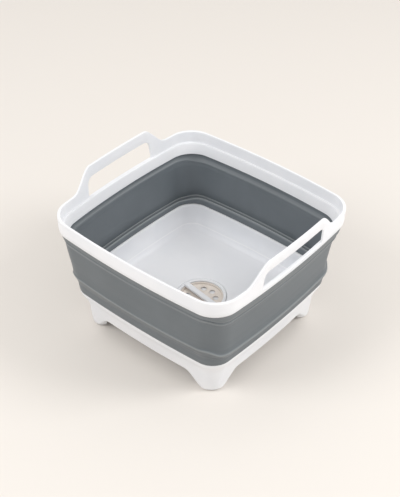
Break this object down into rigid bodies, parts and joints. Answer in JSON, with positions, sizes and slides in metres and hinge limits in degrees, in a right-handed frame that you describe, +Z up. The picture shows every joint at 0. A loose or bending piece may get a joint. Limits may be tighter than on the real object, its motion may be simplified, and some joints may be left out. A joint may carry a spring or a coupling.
{
  "type": "collapsible wash basin",
  "caption": "Square folding wash basin with a rigid rim, two loop handles, a soft wall that presses flat, a footed base tray and a lift-out drain plug.",
  "frame": {"origin": "on the ground below the middle of the basin", "axes": "+Z up, +X through the right-hand handle of the picture, -Y out of the side that the picture shows at the left front"},
  "size_m": [0.3184, 0.303, 0.2195],
  "materials": {
    "white_plastic": "satin cool white moulded polypropylene",
    "grey_soft_wall": "smooth satin mid-grey thermoplastic rubber",
    "frosted_plastic": "warm frosted translucent-looking plastic",
    "pale_seal": "pale silicone"
  },
  "bodies": {
    "base": {"base_tray": "white_plastic", "skirt_lower_band": "grey_soft_wall"},
    "rim": {"rim_frame": "white_plastic", "skirt_upper_band": "grey_soft_wall"},
    "fold_upper": {"skirt_upper_fold": "grey_soft_wall"},
    "fold_lower": {"skirt_lower_fold": "grey_soft_wall"},
    "plug": {"plug_grip": "white_plastic", "strainer_cup": "frosted_plastic", "stopper_plate": "white_plastic", "seal_ring": "pale_seal"}
  },
  "joints": [
    {"name": "collapse", "type": "slide", "parent": "base", "child": "rim", "axis": [0, 0, -1], "range_m": [0, 0.1]},
    {"name": "upper_fold_drop", "type": "slide", "parent": "base", "child": "fold_upper", "axis": [0, 0, -1], "range_m": [0, 0.0686]},
    {"name": "lower_fold_drop", "type": "slide", "parent": "base", "child": "fold_lower", "axis": [0, 0, -1], "range_m": [0, 0.037]},
    {"name": "plug_lift", "type": "slide", "parent": "base", "child": "plug", "axis": [0, 0, 1], "range_m": [0, 0.03]}
  ],
  "couplings": [
    {"joint": "upper_fold_drop", "follows": "collapse", "ratio": 0.686},
    {"joint": "lower_fold_drop", "follows": "collapse", "ratio": 0.37}
  ]
}
